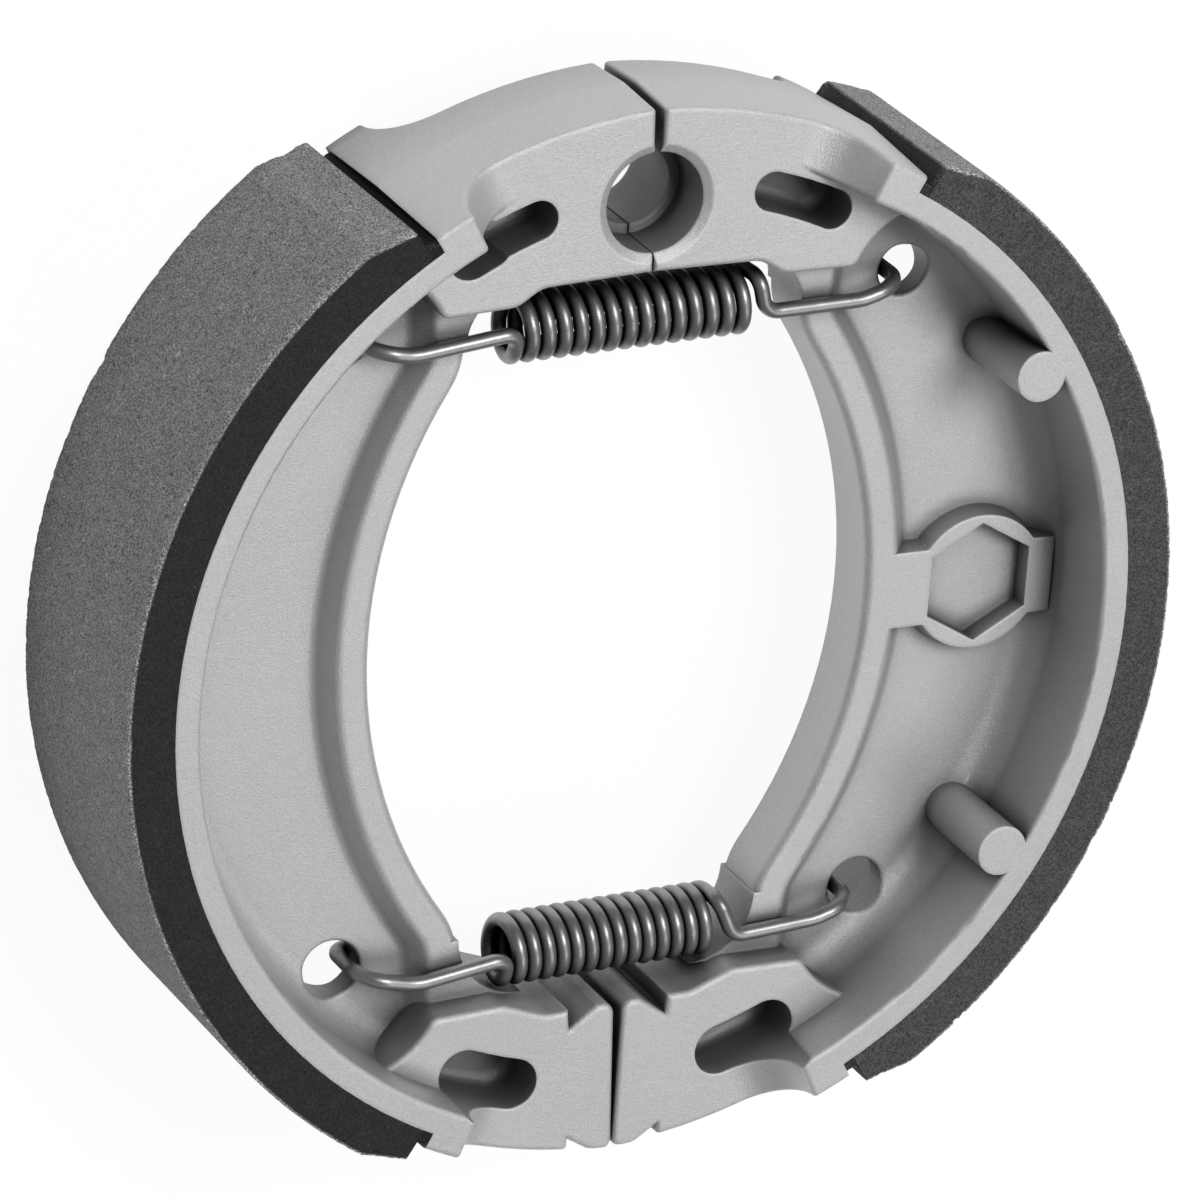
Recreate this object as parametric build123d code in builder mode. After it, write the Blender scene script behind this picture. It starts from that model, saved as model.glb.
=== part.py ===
from build123d import *
import os
from math import asin, atan2, cos, degrees, radians, sin, sqrt

# A pair of drum brake shoes pulled shut by two springs, lying flat. Millimetres.
# X runs across the pair, +Y is the pivot end, +Z the front. The origin is on the brake axis,
# half way through the width. A shoe is drawn on the +X side, its arc about the origin.

# Rim and lining, built inward from the drum
shoe_width = 25.0
lining_radius = 55.0
lining_thickness = 4.6
rim_thickness = 2.9
rim_wall_draft = 0.4
land_height = 2.4
land_draft = 0.75
rim_half_angle = 65.5
rim_overrun_angle = 15.0
rim_edge_round = 0.4
crown_round = 0.4

# Lining ends
seat_half_angle = 61.1
lining_full_angle = 54.8
lining_end_angle = 59.7
lining_end_drop = 1.3
lining_strip_thickness = 1.05

# Web and the bead along its inner edge
web_thickness = 2.8
web_cove_radius = 3.2
bead_thickness = 7.2
bead_flat_width = 3.1
bead_slope_width = 1.8
bead_foot_width = 1.6
bead_sink = 0.1
bead_inner_round = 0.9
bead_shoulder_round = 0.9
bead_foot_round = 1.2
bead_arc_growth = 0.3
bead_apex_depth = 20.2
bead_end_depth = 29.55
bead_bend_radius = 8.0

# Pivot boss
pivot_boss_thickness = 13.5
pivot_flat_x = 0.77
pivot_foot_depth = 11.0
pivot_shelf_drop = 1.5
pivot_shelf_start = 6.15
pivot_shelf_full = 3.65
pivot_gusset_radius = 4.7

# Cam boss and the ear that the cam bears on, with a notch beside each end of it
cam_boss_thickness = 14.0
cam_flat_x = 3.17
cam_foot_depth = 10.4
cam_shelf_drop = 1.8
cam_shelf_start = 7.75
cam_shelf_full = 3.35
cam_gusset_radius = 6.5
ear_reach = 0.15
ear_crest_width = 1.8
ear_width = 4.6
ear_corner_round = 1.2
notch_depth = 1.9
notch_lean = 0.15

# Roundings shared by both bosses
boss_edge_round = 0.5
shelf_round = 2.5
shelf_corner_round = 1.2
clearing_arc_end = 105.0

# Spring holes and the web left free round them
pivot_hole_depth = 3.9
pivot_hole_angle = 47.42
pivot_hole_diameter = 5.0
pivot_hole_clearing = 8.3
cam_hole_depth = 4.36
cam_hole_angle = -45.94
cam_hole_front_diameter = 5.4
cam_hole_back_diameter = 5.9
cam_hole_clearing = 9.1
hole_mouth_round = 0.4

# Pockets cast into both faces of the bosses, from the rim's inner wall inward
pocket_floor_thickness = 2.0
pocket_floor_round = 1.2
pocket_inner_depth = 4.4
pivot_pocket_outer_depth = 0.5
pivot_pocket_angles = (63.0, 76.5)
pivot_channel_inner_depth = 4.75
pivot_channel_angles = (62.0, 70.5)
cam_pocket_outer_depth = -0.8
cam_pocket_angles = (62.5, 75.7)

# Hexagon boss, bar and ejector posts on the casting's front
hex_depth = 8.25
hex_y = 0.36
hex_corner_radius = 6.0
hex_boss_radius = 7.15
hex_bar_height = 8.4
hex_draft = 10.0
post_radius = 2.5
post_depth = 1.4
post_angles = (32.2, -31.1)

# Pin seat, cut half into each shoe
pin_seat_depth = 4.35
pin_counterbore_radius = 4.9
pin_bore_radius = 3.95
pin_ledge_z = 1.0
pin_chamfer_width = 0.9
pin_chamfer_depth = 0.5

# Closed pair: each shoe leans in about the brake axis and sits closer to the middle
closed_lean = 1.55
closed_shift = 1.73

# Springs
wire_diameter = 1.47
coil_outer_diameter = 7.0
coil_z = 1.84
leg_z = 4.6
hook_back_z = -2.5
hook_wall_gap = 0.12
hook_bend_radius = 2.8
hook_tail_bend_radius = 1.3
hook_tail_length = 2.3
coil_start_angle = 114.0
coil_exit_radius = 1.45
coil_exit_run = 2.0
leg_step_radius = 1.7
leg_bend_radius = 6.0

# Each spring: gap from its boss to the coil's axis, coil, then leg points off the axis,
# the first one beyond the coil and the others short of the hooks
upper_coil_gap = 5.56
upper_coil_start_x = -12.5
upper_pitch = 1.652
upper_turns = 15
upper_step = (1.0, -0.74)
upper_right_bend = (4.2, -0.74)
upper_left_bend = (4.2, -0.54)
lower_coil_gap = 4.81
lower_coil_start_x = -10.77
lower_pitch = 1.485
lower_turns = 15
lower_step = (1.87, -1.06)
lower_right_bend = (4.0, -0.66)
lower_left_bend = (5.6, -0.81)

seat_radius = lining_radius - lining_thickness
rim_inner_radius = seat_radius - rim_thickness
land_radius = seat_radius + land_height
stock_radius = land_radius + 1.0
lining_end_radius = lining_radius - lining_end_drop
lining_strip_radius = seat_radius + lining_strip_thickness
half_width = shoe_width / 2
web_half = web_thickness / 2
bead_half = bead_thickness / 2
bead_end_x = rim_inner_radius - bead_end_depth
pivot_foot_y = rim_inner_radius - pivot_foot_depth
pivot_shelf_y = pivot_foot_y - pivot_shelf_drop
pivot_boss_half = pivot_boss_thickness / 2
cam_foot_y = rim_inner_radius - cam_foot_depth
cam_shelf_y = cam_foot_y - cam_shelf_drop
cam_boss_half = cam_boss_thickness / 2
pocket_floor_half = pocket_floor_thickness / 2
pin_seat_y = rim_inner_radius - pin_seat_depth
wire_radius = wire_diameter / 2
coil_radius = (coil_outer_diameter - wire_diameter) / 2


def polar(radius, angle):
    """Plan point at a radius and an angle in degrees from +X."""
    return (radius * cos(radians(angle)), radius * sin(radians(angle)))


def axial_plane(angle):
    """Plane through the brake axis: its x axis points out at the angle, its y axis up."""
    out = polar(1, angle)
    return Plane(origin=(0, 0, 0), x_dir=(*out, 0), z_dir=(out[1], -out[0], 0))


def nearest_vertices(shape, points):
    """The vertices closest to the given points, which are in the sketch's own plane."""
    return [shape.vertices().sort_by_distance(point)[0] for point in points]


pivot_hole = polar(rim_inner_radius - pivot_hole_depth, pivot_hole_angle)
cam_hole = polar(rim_inner_radius - cam_hole_depth, cam_hole_angle)
hex_center = (rim_inner_radius - hex_depth, hex_y)
post_centers = [polar(rim_inner_radius - post_depth, angle) for angle in post_angles]

# Outer form that every outside surface is trimmed to, drafted both ways from mid-width
with BuildPart() as outer_form:
    with BuildSketch(Plane.XZ):
        with BuildLine():
            Polyline(
                (0, -half_width),
                (land_radius - land_draft, -half_width),
                (land_radius, 0),
                (land_radius - land_draft, half_width),
                (0, half_width),
                close=True,
            )
        make_face()
    revolve(axis=Axis.Z)

# Inner edge of the bead: a long arc that bends to a straight stretch at each end
bead_arc_radius = rim_inner_radius + bead_arc_growth
bead_apex_x = rim_inner_radius - bead_apex_depth
bead_center_x = bead_apex_x - bead_arc_radius
bead_bend_y = sqrt(bead_arc_radius**2 - (bead_end_x - bead_center_x) ** 2)
bead_end_y = pivot_foot_y + 2
bead_arc_angle = degrees(asin(bead_bend_y / bead_arc_radius))
with BuildLine() as bead_edge:
    Line((bead_end_x, -bead_end_y), (bead_end_x, -bead_bend_y))
    CenterArc((bead_center_x, 0), bead_arc_radius, -bead_arc_angle, 2 * bead_arc_angle)
    Line((bead_end_x, bead_bend_y), (bead_end_x, bead_end_y))
    bends = [(bead_end_x, y, 0) for y in (-bead_bend_y, bead_bend_y)]
    fillet(nearest_vertices(bead_edge, bends), bead_bend_radius)

# Bead's section: rounded along its inner edge and shoulders, its foot eased into the web
bead_foot_x = bead_flat_width + bead_slope_width
bead_plane = Plane(origin=(bead_end_x, -bead_end_y, 0), x_dir=(1, 0, 0), z_dir=(0, 1, 0))
with BuildSketch(bead_plane) as bead_section:
    with BuildLine():
        Polyline(
            (0, -bead_half),
            (bead_flat_width, -bead_half),
            (bead_foot_x, -web_half),
            (bead_foot_x + bead_foot_width, -web_half + bead_sink),
            (bead_foot_x + bead_foot_width, web_half - bead_sink),
            (bead_foot_x, web_half),
            (bead_flat_width, bead_half),
            (0, bead_half),
            close=True,
        )
    make_face()
    for x, z, radius in (
        (0, bead_half, bead_inner_round),
        (bead_flat_width, bead_half, bead_shoulder_round),
        (bead_foot_x, web_half, bead_foot_round),
    ):
        corners = [(x, side * z) for side in (-1, 1)]
        fillet(nearest_vertices(bead_section, corners), radius)


def gusset(shelf_y, radius):
    """Bead-deep web that rounds the corner between the bead's end and a boss's shelf."""
    side = 1 if shelf_y > 0 else -1
    center = (bead_end_x - radius, shelf_y + side * (boss_edge_round - radius))
    with BuildPart() as corner:
        with BuildSketch(Plane.XY.offset(-bead_half)):
            with Locations(center):
                Rectangle(radius + 1, radius, align=(Align.MIN, Align.MIN if side > 0 else Align.MAX))
                Circle(radius, mode=Mode.SUBTRACT)
        extrude(amount=bead_thickness)
    return corner.part


# Pivot boss, its foot stepped up beside the spring
pivot_clearing_dx = sqrt(pivot_hole_clearing**2 - (pivot_shelf_y - pivot_hole[1]) ** 2)
pivot_corner = (pivot_hole[0] - pivot_clearing_dx, pivot_shelf_y)
pivot_corner_angle = degrees(atan2(pivot_shelf_y - pivot_hole[1], -pivot_clearing_dx))
pivot_steps = [(bead_end_x - pivot_shelf_start, pivot_foot_y), (bead_end_x - pivot_shelf_full, pivot_shelf_y)]
with BuildPart() as pivot_boss:
    with BuildSketch(Plane.XY.offset(-pivot_boss_half)) as pivot_plan:
        with BuildLine():
            Polyline((pivot_flat_x, pivot_foot_y), *pivot_steps, pivot_corner)
            clearing = CenterArc(
                pivot_hole,
                pivot_hole_clearing,
                pivot_corner_angle,
                clearing_arc_end - pivot_corner_angle,
            )
            Polyline(
                clearing @ 1,
                ((clearing @ 1).X, stock_radius),
                (pivot_flat_x, stock_radius),
                (pivot_flat_x, pivot_foot_y),
            )
        make_face()
        fillet(nearest_vertices(pivot_plan, pivot_steps), shelf_round)
        fillet(nearest_vertices(pivot_plan, [pivot_corner]), shelf_corner_round)
    extrude(amount=pivot_boss_thickness)
    face_edges = pivot_boss.edges().group_by(Axis.Z)
    fillet(face_edges[0] + face_edges[-1], boss_edge_round)
    add(gusset(pivot_shelf_y, pivot_gusset_radius))

# Cam boss: the ear's flat faces the other shoe, and its foot slopes up to a shelf
cam_clearing_dx = sqrt(cam_hole_clearing**2 - (cam_shelf_y + cam_hole[1]) ** 2)
cam_corner = (cam_hole[0] - cam_clearing_dx, -cam_shelf_y)
cam_corner_angle = degrees(atan2(-cam_shelf_y - cam_hole[1], -cam_clearing_dx))
cam_steps = [(bead_end_x - cam_shelf_start, -cam_foot_y), (bead_end_x - cam_shelf_full, -cam_shelf_y)]
ear_end_y = -(land_radius - ear_reach)
ear_crest_x = cam_flat_x + ear_crest_width
notch_x = cam_flat_x + ear_width
with BuildPart() as cam_boss:
    with BuildSketch(Plane.XY.offset(-cam_boss_half)) as cam_plan:
        with BuildLine():
            Polyline(
                (cam_flat_x, -cam_foot_y),
                (ear_crest_x, -cam_foot_y),
                (notch_x, -cam_foot_y - notch_depth),
                (notch_x + notch_lean, -cam_foot_y),
                *cam_steps,
                cam_corner,
            )
            clearing = CenterArc(
                cam_hole,
                cam_hole_clearing,
                cam_corner_angle,
                -clearing_arc_end - cam_corner_angle,
            )
            Polyline(
                clearing @ 1,
                ((clearing @ 1).X, -stock_radius),
                (notch_x + notch_lean, -stock_radius),
                (notch_x, ear_end_y + notch_depth),
                (ear_crest_x, ear_end_y),
                (cam_flat_x, ear_end_y),
                (cam_flat_x, -cam_foot_y),
            )
        make_face()
        fillet(nearest_vertices(cam_plan, cam_steps), shelf_round)
        fillet(nearest_vertices(cam_plan, [cam_corner]), shelf_corner_round)
        ear_corners = [(cam_flat_x, y) for y in (-cam_foot_y, ear_end_y)]
        fillet(nearest_vertices(cam_plan, ear_corners), ear_corner_round)
    extrude(amount=cam_boss_thickness)
    face_edges = cam_boss.edges().group_by(Axis.Z)
    fillet(face_edges[0] + face_edges[-1], boss_edge_round)
    add(gusset(-cam_shelf_y, cam_gusset_radius))


def pocket(inner_depth, outer_depth, angles, end, face):
    """Round-ended slot about the brake axis, cut from one face down to a floor with rounded corners."""
    width = inner_depth - outer_depth
    middle = rim_inner_radius - (inner_depth + outer_depth) / 2
    end_angle = degrees(width / 2 / middle)
    start = end * (angles[0] + end_angle)
    span = end * (angles[1] - angles[0] - 2 * end_angle)
    with BuildPart() as cut:
        with BuildSketch(Plane.XY.offset(face * pocket_floor_half)):
            with BuildLine():
                middle_arc = CenterArc((0, 0), middle, start, span)
            SlotArc(middle_arc.edge(), width)
        extrude(amount=face * half_width)
        floor_edges = cut.edges().group_by(Axis.Z)[0 if face > 0 else -1]
        fillet(floor_edges, pocket_floor_round)
    return cut.part


def on_outer_form(point):
    """True on the drafted outer surface, clear of its rounded rims."""
    radius = land_radius - land_draft * abs(point.Z) / half_width
    return abs(sqrt(point.X**2 + point.Y**2) - radius) < 0.02


def on_crown(edge):
    """True on the outline of a boss's face or a scoop, along the outer surface past the ear."""
    lowest = min(pivot_boss_half, cam_boss_half) - 0.1
    points = [edge @ share for share in (0.1, 0.5, 0.9)]
    past_ear = points[1].X > notch_x or points[1].Y > 0
    return past_ear and all(on_outer_form(point) and abs(point.Z) > lowest for point in points)


def on_rim_end(edge):
    """True where a scoop starts from the rim's face."""
    middle = edge @ 0.5
    angle = degrees(atan2(abs(middle.Y), middle.X))
    return abs(angle - rim_half_angle) < 0.1 and abs(abs(middle.Z) - half_width) < 0.01


def on_hole_mouth(edge):
    """True on the rim of a spring hole at either face of the web."""
    radius = max(cam_hole_back_diameter, pivot_hole_diameter) / 2 + 0.1
    middle = edge @ 0.5
    near = [sqrt((middle.X - x) ** 2 + (middle.Y - y) ** 2) < radius for x, y in (pivot_hole, cam_hole)]
    return any(near) and abs(abs(middle.Z) - web_half) < 0.01


pockets = [
    pocket(pocket_inner_depth, pivot_pocket_outer_depth, pivot_pocket_angles, 1, 1),
    pocket(pocket_inner_depth, pivot_pocket_outer_depth, pivot_pocket_angles, 1, -1),
    pocket(pivot_channel_inner_depth, 0, pivot_channel_angles, 1, -1),
    pocket(pocket_inner_depth, cam_pocket_outer_depth, cam_pocket_angles, -1, 1),
    pocket(pocket_inner_depth, cam_pocket_outer_depth, cam_pocket_angles, -1, -1),
]

# The casting, as drawn, before the pin seat is cut
with BuildPart() as casting:
    # Rim and web: a T turned about the brake axis, coved where they meet
    rim_face_radius = rim_inner_radius + rim_wall_draft
    with BuildSketch(Plane.XZ) as tee:
        with BuildLine():
            Polyline(
                (rim_inner_radius / 2, -web_half),
                (rim_inner_radius, -web_half),
                (rim_face_radius, -half_width),
                (stock_radius, -half_width),
                (stock_radius, half_width),
                (rim_face_radius, half_width),
                (rim_inner_radius, web_half),
                (rim_inner_radius / 2, web_half),
                close=True,
            )
        make_face()
        web_corners = [(rim_inner_radius, z) for z in (-web_half, web_half)]
        fillet(nearest_vertices(tee, web_corners), web_cove_radius)
        rim_corners = [(rim_face_radius, z) for z in (-half_width, half_width)]
        fillet(nearest_vertices(tee, rim_corners), rim_edge_round)
    revolve(axis=Axis.Z)

    # Kept part of that ring: outside the bead's edge, and a little past each rim end
    ring_half_angle = rim_half_angle + rim_overrun_angle
    ring_end = polar(stock_radius, ring_half_angle)
    with BuildSketch(Plane.XY.offset(-half_width)):
        with BuildLine():
            add(bead_edge.line)
            Polyline(
                (bead_end_x, bead_end_y),
                polar(rim_inner_radius - 1, ring_half_angle),
                ring_end,
                (stock_radius, ring_end[1]),
                (stock_radius, -ring_end[1]),
                (ring_end[0], -ring_end[1]),
                polar(rim_inner_radius - 1, -ring_half_angle),
                (bead_end_x, -bead_end_y),
            )
        make_face()
    extrude(amount=shoe_width, mode=Mode.INTERSECT)

    # Rim ends scooped down to the bosses
    scoop_start = rim_inner_radius - 2
    for end, boss_half in ((1, pivot_boss_half), (-1, cam_boss_half)):
        scoop_radius = half_width - boss_half
        out = polar(1, end * rim_half_angle)
        along = (-end * out[1], end * out[0], 0)
        origin = (scoop_start * out[0], scoop_start * out[1], 0)
        with BuildSketch(Plane(origin=origin, x_dir=along, z_dir=(*out, 0))):
            with BuildLine():
                CenterArc((scoop_radius, half_width), scoop_radius, 180, 90)
                Polyline(
                    (scoop_radius, boss_half),
                    (rim_inner_radius / 2, boss_half),
                    (rim_inner_radius / 2, shoe_width),
                    (0, shoe_width),
                    (0, half_width),
                )
            make_face()
            mirror(about=Plane.XZ)
        extrude(amount=stock_radius - scoop_start + 2, mode=Mode.SUBTRACT)

    sweep(bead_section.sketch, path=bead_edge.line)
    add(pivot_boss.part)
    add(cam_boss.part)
    add(outer_form.part, mode=Mode.INTERSECT)

    # Crown edges, where the rim's faces, the bosses and the scoops meet the outer form
    fillet(casting.edges().filter_by(on_crown) + casting.edges().filter_by(on_rim_end), crown_round)

    # Seat for the lining
    with BuildSketch(axial_plane(-seat_half_angle)):
        with Locations((seat_radius, 0)):
            Rectangle(lining_radius - seat_radius, shoe_width + 2, align=(Align.MIN, Align.CENTER))
    revolve(axis=Axis.Z, revolution_arc=2 * seat_half_angle, mode=Mode.SUBTRACT)

    # Ejector posts
    with Locations([(x, y, web_half) for x, y in post_centers]):
        Cylinder(post_radius, half_width - web_half, align=(Align.CENTER, Align.CENTER, Align.MIN))

    # Hexagon boss on a bar across the web, level with the bead
    with BuildSketch(Plane.XY.offset(web_half)):
        with Locations(hex_center):
            Circle(hex_boss_radius)
        with Locations((bead_apex_x + bead_flat_width / 2, hex_center[1])):
            bar_length = rim_inner_radius - bead_apex_x - bead_flat_width / 2
            Rectangle(bar_length, hex_bar_height, align=(Align.MIN, Align.CENTER))
    extrude(amount=bead_half - web_half, taper=hex_draft)
    with BuildSketch(Plane.XY.offset(web_half)):
        with Locations(hex_center):
            RegularPolygon(hex_corner_radius, 6, rotation=30)
    extrude(amount=bead_half, mode=Mode.SUBTRACT)

    add(pockets, mode=Mode.SUBTRACT)

    # Spring holes, the cam one drafted from the back
    with Locations((*pivot_hole, 0)):
        Cylinder(pivot_hole_diameter / 2, bead_thickness, mode=Mode.SUBTRACT)
    with Locations((*cam_hole, 0)):
        Cone(
            cam_hole_back_diameter / 2,
            cam_hole_front_diameter / 2,
            bead_thickness,
            mode=Mode.SUBTRACT,
        )
    fillet(casting.edges().filter_by(on_hole_mouth), hole_mouth_round)

# Friction lining: full over most of its arc, with a lead-in and a thin strip at each end
with BuildPart() as lining:
    with BuildSketch(Plane.XY.offset(-half_width)):
        with BuildLine():
            CenterArc((0, 0), lining_radius, -lining_full_angle, 2 * lining_full_angle)
            CenterArc((0, 0), seat_radius, -seat_half_angle, 2 * seat_half_angle)
            for end in (1, -1):
                Polyline(
                    polar(lining_radius, end * lining_full_angle),
                    polar(lining_end_radius, end * lining_end_angle),
                    polar(lining_strip_radius, end * lining_end_angle),
                    polar(lining_strip_radius, end * seat_half_angle),
                    polar(seat_radius, end * seat_half_angle),
                )
        make_face()
    extrude(amount=shoe_width)

# Places of the two shoes in the closed pair
right_place = Location((-closed_shift, 0, 0), (0, 0, -closed_lean))
left_place = Location((0, 0, 0), (0, 180, 0)) * right_place

# Pin seat, a stepped bore on the line between the shoes
with BuildPart() as pin_cut:
    with BuildSketch(Plane.XZ.offset(-pin_seat_y)):
        with BuildLine():
            Polyline(
                (0, -half_width),
                (pin_bore_radius, -half_width),
                (pin_bore_radius, pin_ledge_z),
                (pin_counterbore_radius, pin_ledge_z),
                (pin_counterbore_radius, pivot_boss_half - pin_chamfer_depth),
                (pin_counterbore_radius + pin_chamfer_width, pivot_boss_half),
                (pin_counterbore_radius + pin_chamfer_width, half_width),
                (0, half_width),
                close=True,
            )
        make_face()
    revolve(axis=Axis((0, pin_seat_y, 0), (0, 0, 1)))

with BuildPart() as right_shoe:
    add(casting.part.moved(right_place))
    add(pin_cut.part, mode=Mode.SUBTRACT)

with BuildPart() as left_shoe:
    add(casting.part.moved(left_place))
    add(pin_cut.part, mode=Mode.SUBTRACT)

with BuildPart() as right_lining:
    add(lining.part.moved(right_place))

with BuildPart() as left_lining:
    add(lining.part.moved(left_place))


def round_wire(line):
    """Wire swept along a line."""
    with BuildPart() as wire:
        with BuildSketch(Plane(origin=line @ 0, z_dir=line % 0)):
            Circle(wire_radius)
        sweep(path=line, is_frenet=isinstance(line, Edge))
    return wire.part


def return_spring(start_x, coil_y, pitch, turns, hole, hole_radius, step, right_bend, left_bend):
    """Coil along X with a leg at each end, hooked through the web from the front."""
    hole_center = (right_place * Location((*hole, 0))).position
    hook_x = hole_center.X - hole_radius + wire_radius + hook_wall_gap
    hook = [
        (hook_x, hole_center.Y, leg_z),
        (hook_x, hole_center.Y, hook_back_z),
        (hook_x - hook_tail_length, hole_center.Y, hook_back_z),
    ]
    revolutions = turns - coil_start_angle / 360
    end_x = start_x + pitch * revolutions
    coil_plane = Plane(
        origin=(start_x, coil_y, coil_z), x_dir=(0, *polar(1, coil_start_angle)), z_dir=(1, 0, 0)
    )
    coil_line = coil_plane.from_local_coords(Edge.make_helix(pitch, pitch * revolutions, coil_radius))
    with BuildLine() as right_leg:
        FilletPolyline(
            coil_line @ 1,
            (coil_line @ 1) + (coil_line % 1) * (leg_z - coil_z),
            (end_x + step[0], coil_y + step[1], leg_z),
            (hook_x - right_bend[0], coil_y + right_bend[1], leg_z),
            *hook,
            radius=[
                coil_exit_radius,
                leg_step_radius,
                leg_bend_radius,
                hook_bend_radius,
                hook_tail_bend_radius,
            ],
        )
    with BuildLine() as left_leg:
        FilletPolyline(
            coil_line @ 0,
            (coil_line @ 0) - (coil_line % 0) * coil_exit_run,
            (left_bend[0] - hook_x, coil_y + left_bend[1], leg_z),
            *[(-x, y, z) for x, y, z in hook],
            radius=[
                coil_exit_radius,
                leg_bend_radius,
                hook_bend_radius,
                hook_tail_bend_radius,
            ],
        )
    return round_wire(coil_line) + round_wire(right_leg.wire()) + round_wire(left_leg.wire())


upper_spring = return_spring(
    upper_coil_start_x,
    pivot_foot_y - upper_coil_gap,
    upper_pitch,
    upper_turns,
    pivot_hole,
    pivot_hole_diameter / 2,
    upper_step,
    upper_right_bend,
    upper_left_bend,
)
lower_spring = return_spring(
    lower_coil_start_x,
    lower_coil_gap - cam_foot_y,
    lower_pitch,
    lower_turns,
    cam_hole,
    cam_hole_front_diameter / 2,
    lower_step,
    lower_right_bend,
    lower_left_bend,
)

right_shoe.part.label = "right_shoe"
left_shoe.part.label = "left_shoe"
right_lining.part.label = "right_lining"
left_lining.part.label = "left_lining"
upper_spring.label = "upper_spring"
lower_spring.label = "lower_spring"

os.makedirs("parts", exist_ok=True)
export_step(right_shoe.part, "parts/right_shoe.step")
export_step(left_shoe.part, "parts/left_shoe.step")
export_step(right_lining.part, "parts/right_lining.step")
export_step(left_lining.part, "parts/left_lining.step")
export_step(upper_spring, "parts/upper_spring.step")
export_step(lower_spring, "parts/lower_spring.step")
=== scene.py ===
from math import ceil, cos, exp, pi, radians, sin, tan, tau

import bmesh
import bpy
from mathutils import Matrix, Vector, noise


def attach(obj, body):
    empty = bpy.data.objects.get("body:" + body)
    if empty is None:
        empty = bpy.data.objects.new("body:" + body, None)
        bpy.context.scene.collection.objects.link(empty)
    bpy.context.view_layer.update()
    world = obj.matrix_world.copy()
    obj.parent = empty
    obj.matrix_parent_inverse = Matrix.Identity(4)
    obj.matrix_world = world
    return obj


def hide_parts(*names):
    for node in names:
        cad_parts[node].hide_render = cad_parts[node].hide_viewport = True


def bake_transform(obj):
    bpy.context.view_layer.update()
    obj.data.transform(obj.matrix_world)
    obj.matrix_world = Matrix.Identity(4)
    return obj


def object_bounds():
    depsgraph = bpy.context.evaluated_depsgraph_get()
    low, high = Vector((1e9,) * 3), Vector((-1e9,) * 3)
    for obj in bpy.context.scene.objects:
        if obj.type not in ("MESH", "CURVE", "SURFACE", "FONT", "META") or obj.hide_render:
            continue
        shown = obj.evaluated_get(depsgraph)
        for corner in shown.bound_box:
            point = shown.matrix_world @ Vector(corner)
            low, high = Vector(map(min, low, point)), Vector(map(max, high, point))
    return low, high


# A pair of drum brake shoes with bonded linings and two return springs, in the CAD's own frame. Scene
# units are metres. Piece sizes are in millimetres, turned into metres by MM.
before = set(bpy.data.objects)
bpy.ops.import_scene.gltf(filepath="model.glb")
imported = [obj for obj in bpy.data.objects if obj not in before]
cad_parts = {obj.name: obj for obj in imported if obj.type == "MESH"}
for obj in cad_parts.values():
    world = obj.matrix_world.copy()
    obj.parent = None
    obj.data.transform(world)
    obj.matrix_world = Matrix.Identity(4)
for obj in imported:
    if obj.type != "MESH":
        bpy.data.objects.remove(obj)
cad_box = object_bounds()
MM = 0.001


class Value:
    """One output of a material's nodes. Sums and products on it add Math nodes."""

    def __init__(self, paint, socket):
        self.paint = paint
        self.socket = socket

    def __add__(self, other):
        return self.paint.math("ADD", self, other)

    def __sub__(self, other):
        return self.paint.math("SUBTRACT", self, other)

    def __rsub__(self, other):
        return self.paint.math("SUBTRACT", other, self)

    def __mul__(self, other):
        return self.paint.math("MULTIPLY", self, other)

    def __pow__(self, other):
        return self.paint.math("POWER", self, other)

    __radd__ = __add__
    __rmul__ = __mul__


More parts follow.
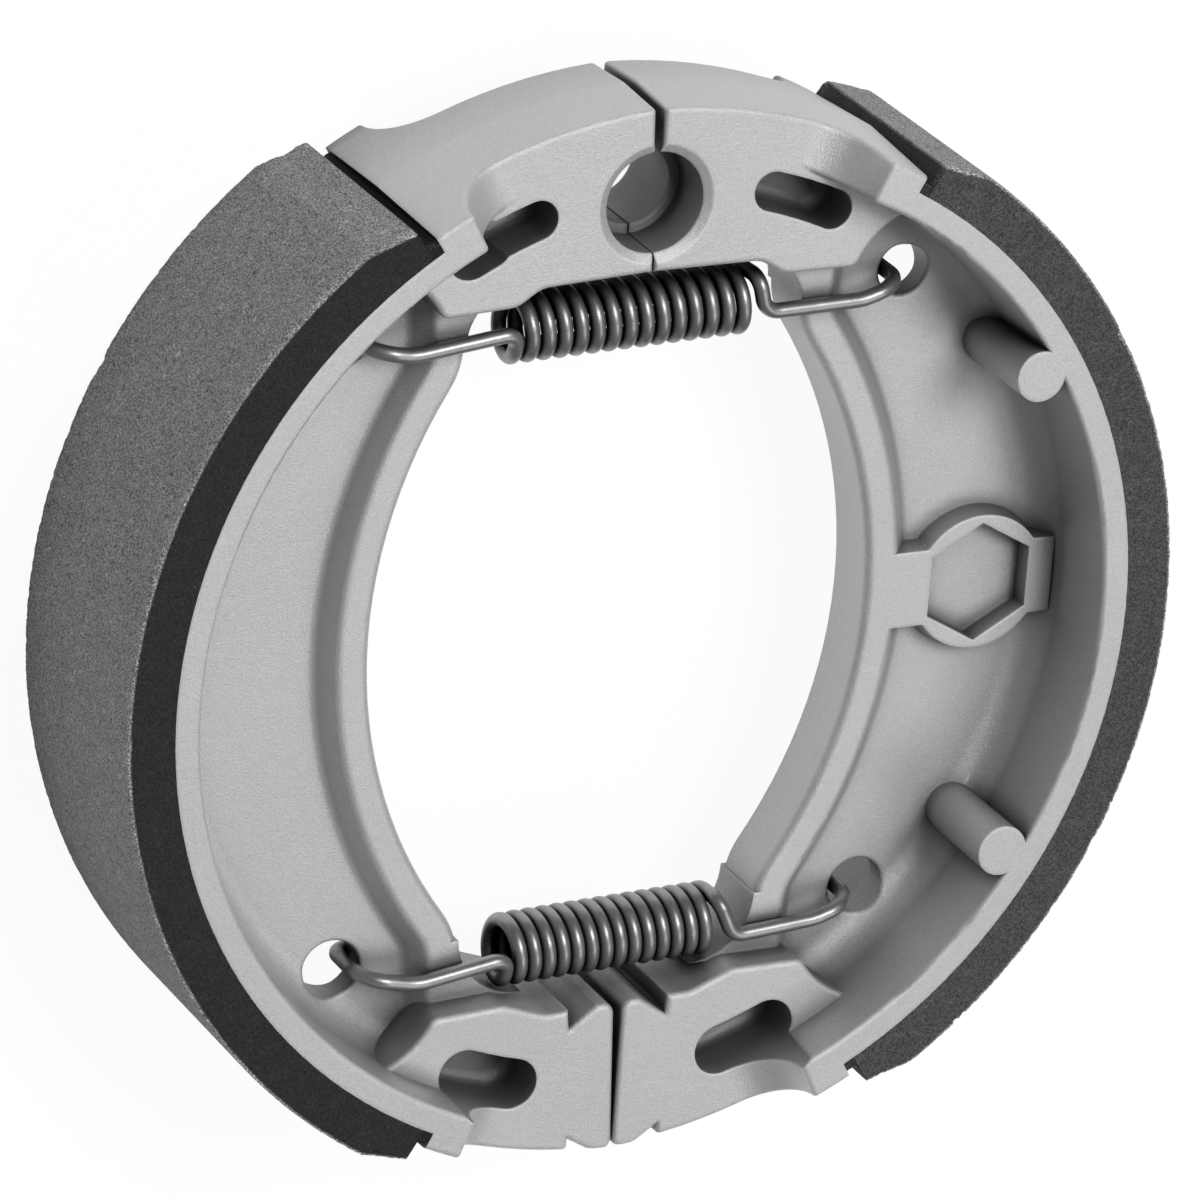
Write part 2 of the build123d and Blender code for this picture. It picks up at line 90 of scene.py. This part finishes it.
class Paint:
    """A material under construction: every node comes from add()."""

    def __init__(self, name):
        self.material = bpy.data.materials.new(name)
        self.material.use_nodes = True
        self.tree = self.material.node_tree
        self.tree.nodes.clear()

    def add(self, kind, settings=None, inputs=None, output=0):
        """A node of that kind: its settings first, then the values or links of its sockets."""
        node = self.tree.nodes.new(kind)
        for name, value in (settings or {}).items():
            setattr(node, name, value)
        for name, value in (inputs or {}).items():
            if isinstance(value, Value):
                self.tree.links.new(value.socket, node.inputs[name])
            else:
                node.inputs[name].default_value = value
        return Value(self, node.outputs[output])

    def math(self, operation, a, b=0.0):
        return self.add("ShaderNodeMath", {"operation": operation}, {0: a, 1: b})

    def smooth(self, value, low, high):
        """0 below low, 1 above high, eased between."""
        return self.add(
            "ShaderNodeMapRange",
            {"interpolation_type": "SMOOTHSTEP"},
            {"Value": value, "From Min": low, "From Max": high},
        )

    def place(self):
        """Point on the piece, in its own axes."""
        return self.add("ShaderNodeTexCoord", output="Object")

    def noise(self, size, detail=2.0, roughness=0.5, distortion=0.0):
        """Cloudy pattern whose blobs are about size metres across."""
        return self.add(
            "ShaderNodeTexNoise",
            {},
            {
                "Vector": self.place(),
                "Scale": 1 / size,
                "Detail": detail,
                "Roughness": roughness,
                "Distortion": distortion,
            },
        )

    def share(self, name):
        """A number that the piece's own points carry."""
        return self.add("ShaderNodeAttribute", {"attribute_name": name}, output="Fac")

    def openness(self, reach):
        """1 in the open, less in corners and beside other pieces within reach."""
        return self.add("ShaderNodeAmbientOcclusion", {"samples": 4}, {"Distance": reach}, "AO")

    def eased(self, radius):
        """Normal that turns softly over each edge."""
        return self.add("ShaderNodeBevel", {"samples": 3}, {"Radius": radius})

    def edge(self, eased):
        """0 on even surfaces, near 1 along edges, from a normal eased over them."""
        plain = self.add("ShaderNodeNewGeometry", output="Normal")
        along = self.add(
            "ShaderNodeVectorMath", {"operation": "DOT_PRODUCT"}, {0: eased, 1: plain}, "Value"
        )
        return self.smooth(1 - along, 0.01, 0.2)

    def grey(self, value):
        """A grey whose brightness is the value."""
        return self.add("ShaderNodeCombineColor", {}, {"Red": value, "Green": value, "Blue": value})

    def bump(self, height, depth, below=None):
        """Surface raised by height times depth, on top of another normal."""
        inputs = {"Height": height, "Distance": depth, "Strength": 1.0}
        if below:
            inputs["Normal"] = below
        return self.add("ShaderNodeBump", {}, inputs)

    def finish(self, inputs):
        """Principled shader with these inputs, to the output."""
        return self.show(self.add("ShaderNodeBsdfPrincipled", {}, inputs))

    def show(self, surface):
        end = self.tree.nodes.new("ShaderNodeOutputMaterial")
        self.tree.links.new(surface.socket, end.inputs["Surface"])
        return self.material


def cast_aluminium():
    """Blasted die casting: pale satin grey, with painted shade in its corners and a painted highlight
    along its edges.
    """
    paint = Paint("cast_aluminium")
    eased = paint.eased(0.45 * MM)
    open_near = paint.openness(2 * MM)
    open_wide = paint.openness(35 * MM)
    cloud = paint.noise(12 * MM, detail=3)
    grain = paint.noise(0.17 * MM, detail=2, roughness=0.8)
    peel = paint.noise(0.9 * MM, detail=2)
    # Painted highlight: the base colour is lighter along open convex edges, where light would catch a
    # rounded edge.
    painted_edge_highlight = paint.edge(eased) * paint.smooth(open_near, 0.78, 0.95)
    # Painted shade: the base colour is darker in corners, hollows and beside other pieces, where less
    # light reaches.
    corners = (0.1 + open_near * 0.9) * (0.21 + paint.smooth(open_wide, 0.12, 0.72) * 0.79)
    speck = paint.smooth(grain, 0.3, 0.7)
    tone = (0.56 + cloud * 0.06 + speck * 0.13 + painted_edge_highlight * 0.60) * corners
    return paint.finish(
        {
            "Base Color": paint.grey(tone),
            "Roughness": 0.38 + grain * 0.14,
            "Metallic": 0.5,
            "Normal": paint.bump(peel * 0.4 + grain, 0.06 * MM, eased),
        }
    )


def friction_compound(name, side_tone_and_shade):
    """Moulded friction compound: a ground face full of pores and fibres, and dark moulded sides, with
    painted shade in its corners, on its plain ends and in its side tone.
    """
    paint = Paint(name)
    ground = paint.share("ground")
    chipped = paint.share("chipped")
    painted_end_shade = paint.share("painted_end_shade")
    cloud = paint.noise(5 * MM, detail=3)
    grain = paint.noise(0.17 * MM, detail=2, roughness=0.8)
    fine = paint.noise(0.11 * MM, detail=1)
    pore = paint.smooth(paint.noise(0.45 * MM, detail=2), 0.28, 0.42)
    strand = paint.math("ABSOLUTE", paint.noise(0.9 * MM, detail=0, distortion=2.5) - 0.5)
    broken = paint.smooth(paint.noise(1.3 * MM, detail=1), 0.50, 0.62)
    fibre = (1 - paint.smooth(strand, 0.008, 0.03)) * broken
    fleck = paint.smooth(grain, 0.50, 0.60)
    coarse = paint.smooth(grain, 0.40, 0.60)
    face_tone = (coarse * 0.46 + fine * 0.28 + cloud * 0.08) * (0.45 + pore * 0.55) + fibre * 0.42
    # Painted shade: the cut sides are darker on the plain strip ends.
    cut_tone = (coarse * 0.9 + fine * 0.9 + fibre) * side_tone_and_shade * (1 - painted_end_shade * 0.6)
    tone = face_tone * ground + cut_tone * (1 - ground) + fleck * chipped * 0.8
    return paint.finish(
        {
            # Painted shade: the base colour is darker in corners and beside the casting.
            "Base Color": paint.grey(tone * (0.4 + paint.openness(1.5 * MM) * 0.6)),
            "Roughness": 0.8,
            "Normal": paint.bump(grain * 1.4 + pore * 0.5 + fine * 0.6, 0.13 * MM),
        }
    )


def spring_steel():
    """Dark drawn wire with a soft sheen, with painted shade that makes it black where turns meet and
    inside the coil.
    """
    paint = Paint("spring_steel")
    cloud = paint.noise(1.6 * MM, detail=3)
    grain = paint.noise(0.18 * MM, detail=2)
    outside = paint.smooth(paint.openness(7 * MM), 0.15, 0.7)
    crowded = paint.openness(1.0 * MM) ** 2
    return paint.finish(
        {
            # Painted shade: the base colour is darker where turns meet and inside the coil.
            "Base Color": paint.grey((0.24 + cloud * 0.20) * crowded * outside),
            "Roughness": 0.33 + grain * 0.1 + (1 - crowded) * 0.35,
            "Metallic": 0.8,
            "Normal": paint.bump(grain, 0.006 * MM),
        }
    )


casting_finish = cast_aluminium()
wire_finish = spring_steel()
for side in ("left", "right"):
    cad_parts[side + "_shoe"].data.materials[0] = casting_finish

# Linings, on the CAD's sizes in millimetres: moulded blocks with a rough skin and chipped edges
LINING_RADIUS = 55.0
SEAT_RADIUS = 50.4
STRIP_RADIUS = 51.45
LEAD_IN_RADIUS = 53.7
HALF_WIDTH = 12.5
LEAD_IN_ANGLE = 54.8
BLOCK_ANGLE = 59.7
STRIP_ANGLE = 61.1
LINING_STEP = 0.3
CLOSED_LEAN = 1.55
CLOSED_SHIFT = 1.73
SIDE_STEPS = 14
BACK_STEPS = 5
EDGE_REACH = 0.45
FRAY_REACH = 0.8
FAR_FROM_EDGE = 9.0


def polar(radius, angle):
    return Vector((radius * cos(radians(angle)), radius * sin(radians(angle)), 0))


def spread(start, end, step):
    """Points from start to end, about a step apart, without the last one."""
    count = max(1, ceil((end - start).length / step))
    return [start.lerp(end, i / count) for i in range(count)]


def lining_outline():
    """Plan points along the friction side, from one strip's end to the other."""
    wall_foot = BLOCK_ANGLE + 0.2
    half = []
    face_steps = ceil(LINING_RADIUS * radians(LEAD_IN_ANGLE) / LINING_STEP)
    for i in range(face_steps):
        half.append(polar(LINING_RADIUS, LEAD_IN_ANGLE * i / face_steps))
    half += spread(polar(LINING_RADIUS, LEAD_IN_ANGLE), polar(LEAD_IN_RADIUS, BLOCK_ANGLE), LINING_STEP)
    half += spread(polar(LEAD_IN_RADIUS, BLOCK_ANGLE), polar(STRIP_RADIUS, wall_foot), LINING_STEP)
    half += spread(polar(STRIP_RADIUS, wall_foot), polar(STRIP_RADIUS, STRIP_ANGLE), LINING_STEP)
    half.append(polar(STRIP_RADIUS, STRIP_ANGLE))
    return [Vector((p.x, -p.y, 0)) for p in half[:0:-1]] + half


def rough(point, size):
    """Cloud value, about -1 to 1, of broken blobs up to about size millimetres across."""
    return noise.fractal(point / size, 0.7, 2.0, 4)


def lining_ring(outer):
    """One cross-section: up one side, across the friction face, down the other side and back."""
    seat = outer.normalized() * SEAT_RADIUS
    face_steps = ceil(2 * HALF_WIDTH / LINING_STEP)
    depth = outer.length - SEAT_RADIUS
    ring = []
    for i in range(SIDE_STEPS):
        ring.append((seat.lerp(outer, i / SIDE_STEPS), -HALF_WIDTH, depth * (1 - i / SIDE_STEPS), 0.0))
    ground_share = 1.0 if outer.length > LEAD_IN_RADIUS - 0.01 else 0.0
    for i in range(face_steps + 1):
        z = HALF_WIDTH * (2 * i / face_steps - 1)
        ring.append((outer, z, HALF_WIDTH - abs(z), ground_share))
    for i in reversed(range(SIDE_STEPS)):
        ring.append((seat.lerp(outer, i / SIDE_STEPS), HALF_WIDTH, depth * (1 - i / SIDE_STEPS), 0.0))
    for i in range(1, BACK_STEPS):
        ring.append((seat, HALF_WIDTH * (1 - 2 * i / BACK_STEPS), FAR_FROM_EDGE, 0.0))
    worn = []
    for place, z, from_edge, ground in ring:
        point = Vector((place.x, place.y, z))
        out = place.normalized()
        near_edge = exp(-((from_edge / EDGE_REACH) ** 2))
        broken_out = max(0.0, rough(point, 2.6) - 0.3)
        chip = near_edge * (0.06 + 0.07 * abs(rough(point, 0.7)) + 0.4 * broken_out)
        pit = max(0.0, rough(point, 1.3) - 0.5) * 0.16
        skin = 0.045 * abs(rough(point, 0.9)) + pit
        on_face = place.length == outer.length
        if place.length > SEAT_RADIUS + 0.3:
            point -= out * (chip + (skin if on_face else 0.0))
            if not on_face or from_edge < 0.01:
                point.z -= (chip + 0.6 * skin) * (1 if z > 0 else -1)
        frayed = exp(-((from_edge / FRAY_REACH) ** 2)) * (0.5 + rough(point, 3.0))
        worn.append((point, ground, min(1.0, max(0.0, frayed)) if on_face else 0.0))
    return worn


def lining_piece(side, finish):
    """Lining of one shoe, as a closed skin of small quads carrying its ground face and chips."""
    rings = [lining_ring(outer) for outer in lining_outline()]
    around = len(rings[0])
    place = Matrix.Translation((-CLOSED_SHIFT, 0, 0)) @ Matrix.Rotation(radians(-CLOSED_LEAN), 4, "Z")
    if side == "left":
        place = Matrix.Rotation(pi, 4, "Y") @ place
    points = [place @ point * MM for ring in rings for point, ground, chipped in ring]
    faces = [
        (row + i, row + (i + 1) % around, row + around + (i + 1) % around, row + around + i)
        for row in range(0, around * (len(rings) - 1), around)
        for i in range(around)
    ]
    faces += [tuple(range(around)), tuple(range(around * (len(rings) - 1), around * len(rings)))]
    mesh = bpy.data.meshes.new(side + "_lining_block")
    mesh.from_pydata(points, [], faces)
    skin = bmesh.new()
    skin.from_mesh(mesh)
    bmesh.ops.recalc_face_normals(skin, faces=skin.faces)
    skin.to_mesh(mesh)
    skin.free()
    mesh.polygons.foreach_set("use_smooth", [True] * len(mesh.polygons))
    mesh.set_sharp_from_angle(angle=radians(60))
    # The plain strip ends carry painted shade that darkens their sides.
    plain_ends = [float(outer.length < LEAD_IN_RADIUS - 0.01) for outer in lining_outline()]
    for name, values in (
        ("ground", [ground for ring in rings for point, ground, chipped in ring]),
        ("chipped", [chipped for ring in rings for point, ground, chipped in ring]),
        ("painted_end_shade", [plain for plain in plain_ends for i in range(around)]),
    ):
        mesh.attributes.new(name, "FLOAT", "POINT").data.foreach_set("value", values)
    mesh.materials.append(finish)
    piece = bpy.data.objects.new(side + "_lining_block", mesh)
    bpy.context.scene.collection.objects.link(piece)
    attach(piece, side)
    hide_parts(side + "_lining")


# Both linings are one compound; their side tones differ only as painted shade, darker on the left lining
# than on the right.
lining_piece("left", friction_compound("friction_compound_left_painted_dark", 0.028))
lining_piece("right", friction_compound("friction_compound_right_painted_light", 0.1))

# Springs, on the CAD's sizes in millimetres: round wire that follows one line
WIRE_RADIUS = 0.735
COIL_RADIUS = 2.765
COIL_Z = 1.84
LEG_Z = 4.6
HOOK_Z = -2.5
HOOK_TAIL = 2.3
START_ANGLE = 114.0
STEPS_PER_TURN = 48
WIRE_SIDES = 24


def rounded(points, radii, step=0.12):
    """Points along straight runs with an arc of the given radius at each inner corner."""
    line = [points[0]]
    for before, corner, after, radius in zip(points, points[1:], points[2:], radii):
        back = (before - corner).normalized()
        ahead = (after - corner).normalized()
        half = back.angle(ahead) / 2
        middle = corner + (back + ahead).normalized() * (radius / sin(half))
        start = (corner + back * (radius / tan(half)) - middle).normalized()
        end = (corner + ahead * (radius / tan(half)) - middle).normalized()
        count = max(2, ceil(radius * (pi - 2 * half) / step))
        line += [middle + start.slerp(end, i / count) * radius for i in range(count + 1)]
    line.append(points[-1])
    return line


def spring_line(start_x, y, pitch, turns, hook_x, hook_y, left_bend, right_step, right_bend):
    """The wire's middle line, from the left hook's tail to the right one's."""
    revolutions = turns - START_ANGLE / 360
    count = round(revolutions * STEPS_PER_TURN)
    coil = []
    for i in range(count + 1):
        angle = radians(START_ANGLE) + tau * revolutions * i / count
        x = start_x + pitch * revolutions * i / count
        coil.append(Vector((x, y + COIL_RADIUS * cos(angle), COIL_Z + COIL_RADIUS * sin(angle))))

    def heading(angle):
        return Vector((pitch / tau, -COIL_RADIUS * sin(angle), COIL_RADIUS * cos(angle))).normalized()

    lead_in = heading(radians(START_ANGLE))
    lead_out = heading(radians(START_ANGLE) + tau * revolutions)
    hook = [
        Vector((hook_x, hook_y, LEG_Z)),
        Vector((hook_x, hook_y, HOOK_Z)),
        Vector((hook_x - HOOK_TAIL, hook_y, HOOK_Z)),
    ]
    right = rounded(
        [coil[-1], coil[-1] + lead_out * (LEG_Z - COIL_Z), right_step, right_bend, *hook],
        (1.45, 1.7, 6.0, 2.8, 1.3),
    )
    left = rounded(
        [coil[0], coil[0] - lead_in * 2.0, left_bend, *[Vector((-p.x, p.y, p.z)) for p in hook]],
        (1.45, 6.0, 2.8, 1.3),
    )
    return left[:0:-1] + coil + right[1:]


def round_wire_tree():
    """Geometry Nodes: a round wire along the piece's own edges."""
    tree = bpy.data.node_groups.new("round_wire", "GeometryNodeTree")
    tree.interface.new_socket("Line", in_out="INPUT", socket_type="NodeSocketGeometry")
    for name, kind in (("Wire Radius", "Float"), ("Sides", "Int"), ("Finish", "Material")):
        tree.interface.new_socket(name, in_out="INPUT", socket_type="NodeSocket" + kind)
    tree.interface.new_socket("Wire", in_out="OUTPUT", socket_type="NodeSocketGeometry")
    node = {
        name: tree.nodes.new(kind)
        for name, kind in (
            ("start", "NodeGroupInput"),
            ("line", "GeometryNodeMeshToCurve"),
            ("ring", "GeometryNodeCurvePrimitiveCircle"),
            ("tube", "GeometryNodeCurveToMesh"),
            ("soft", "GeometryNodeSetShadeSmooth"),
            ("real", "GeometryNodeRealizeInstances"),
            ("paint", "GeometryNodeSetMaterial"),
            ("end", "NodeGroupOutput"),
        )
    }
    node["tube"].inputs["Fill Caps"].default_value = True
    for source, output, target, entry in (
        ("start", "Line", "line", "Mesh"),
        ("start", "Wire Radius", "ring", "Radius"),
        ("start", "Sides", "ring", "Resolution"),
        ("start", "Finish", "paint", "Material"),
        ("line", "Curve", "tube", "Curve"),
        ("ring", "Curve", "tube", "Profile Curve"),
        ("tube", "Mesh", "soft", "Geometry"),
        ("soft", "Geometry", "real", "Geometry"),
        ("real", "Geometry", "paint", "Geometry"),
        ("paint", "Geometry", "end", "Wire"),
    ):
        tree.links.new(node[source].outputs[output], node[target].inputs[entry])
    return tree


round_wire = round_wire_tree()


def wire_piece(name, line):
    """A plain mesh of round wire along the line."""
    path = bpy.data.meshes.new(name + "_line")
    path.from_pydata([p * MM for p in line], [(i, i + 1) for i in range(len(line) - 1)], [])
    holder = bpy.data.objects.new(name + "_line", path)
    bpy.context.scene.collection.objects.link(holder)
    modifier = holder.modifiers.new("wire", "NODES")
    modifier.node_group = round_wire
    sockets = {item.name: item.identifier for item in round_wire.interface.items_tree}
    modifier[sockets["Wire Radius"]] = WIRE_RADIUS * MM
    modifier[sockets["Sides"]] = WIRE_SIDES
    modifier[sockets["Finish"]] = wire_finish
    mesh = bpy.data.meshes.new_from_object(holder.evaluated_get(bpy.context.evaluated_depsgraph_get()))
    bpy.data.objects.remove(holder)
    piece = bpy.data.objects.new(name, mesh)
    bpy.context.scene.collection.objects.link(piece)
    return piece


upper_line = spring_line(
    start_x=-12.5,
    y=30.94,
    pitch=1.652,
    turns=15,
    hook_x=26.999,
    hook_y=31.294,
    left_bend=Vector((-22.799, 30.40, LEG_Z)),
    right_step=Vector((12.757, 30.20, LEG_Z)),
    right_bend=Vector((22.799, 30.20, LEG_Z)),
)
lower_line = spring_line(
    start_x=-10.77,
    y=-32.29,
    pitch=1.485,
    turns=15,
    hook_x=25.589,
    hook_y=-31.802,
    left_bend=Vector((-19.989, -33.10, LEG_Z)),
    right_step=Vector((12.905, -33.35, LEG_Z)),
    right_bend=Vector((21.589, -32.95, LEG_Z)),
)
for name, line, left_x, right_x, y in (
    ("upper", upper_line, -12.0, 11.3, 30.94),
    ("lower", lower_line, -10.3, 10.5, -32.29),
):
    piece = wire_piece(name + "_return_spring", line)
    left_x * MM
    y * MM
    right_x * MM
    y * MM
    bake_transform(piece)
    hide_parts(name + "_spring")

# Camera: the photograph's axes, long lens
photo_right = Vector((0.90354, 0.04372, 0.42627))
photo_up = Vector((0.13079, 0.91919, -0.37150))
photo_back = photo_right.cross(photo_up)
camera_place = Vector((-0.34322, 0.33004, 0.69261))
camera_data = bpy.data.cameras.new("camera")
camera_data.lens = 270
camera_data.sensor_width = 36
camera_data.clip_end = 10
camera = bpy.data.objects.new("camera", camera_data)
turn = Matrix((photo_right, photo_up, photo_back)).transposed().to_4x4()
camera.matrix_world = Matrix.Translation(camera_place) @ turn
bpy.context.scene.collection.objects.link(camera)
bpy.context.scene.camera = camera


def softbox(name, direction, distance, size, power):
    """A square lamp that looks at the brake axis from a direction in the photograph's axes."""
    right, up, back = direction
    away = (photo_right * right + photo_up * up + photo_back * back).normalized()
    lamp = bpy.data.lights.new(name, "AREA")
    lamp.shape = "SQUARE"
    lamp.size = size
    lamp.energy = power
    holder = bpy.data.objects.new(name, lamp)
    holder.location = away * distance
    holder.rotation_mode = "QUATERNION"
    holder.rotation_quaternion = away.to_track_quat("Z", "Y")
    bpy.context.scene.collection.objects.link(holder)


softbox("front", (0.65, 0.05, 0.85), 1.15, 0.45, 7.0)
softbox("low", (0.70, -0.61, 0.36), 1.2, 0.6, 2.2)
softbox("left", (-1.0, 0.45, 0.1), 1.2, 0.6, 0.9)

world = bpy.data.worlds.new("studio")
world.use_nodes = True
world.node_tree.nodes["Background"].inputs["Color"].default_value = (1, 1, 1, 1)
world.node_tree.nodes["Background"].inputs["Strength"].default_value = 0.18
bpy.context.scene.world = world

# Floor: white to the camera, with a faint shadow left in
floor_z = cad_box[0].z - 0.02 * MM
floor_reach = 2.0
floor_corners = [
    (x * floor_reach, y * floor_reach, floor_z) for x, y in ((-1, -1), (1, -1), (1, 1), (-1, 1))
]
floor_mesh = bpy.data.meshes.new("floor")
floor_mesh.from_pydata(floor_corners, [], [(0, 1, 2, 3)])
floor = bpy.data.objects.new("floor", floor_mesh)
bpy.context.scene.collection.objects.link(floor)
paper = Paint("paper")
rays = [
    paper.add("ShaderNodeLightPath", output=name)
    for name in ("Is Camera Ray", "Is Glossy Ray", "Is Transmission Ray")
]
seen = paper.math("MINIMUM", rays[0] + rays[1] + rays[2], 1.0) * 0.9
lit = paper.add("ShaderNodeBsdfDiffuse", {}, {"Color": (0.8, 0.8, 0.8, 1)})
glow = paper.add("ShaderNodeEmission", {}, {"Color": (1, 1, 1, 1), "Strength": 1.05})
floor_mesh.materials.append(paper.show(paper.add("ShaderNodeMixShader", {}, {0: seen, 1: lit, 2: glow})))

bpy.context.scene.view_settings.view_transform = "Standard"
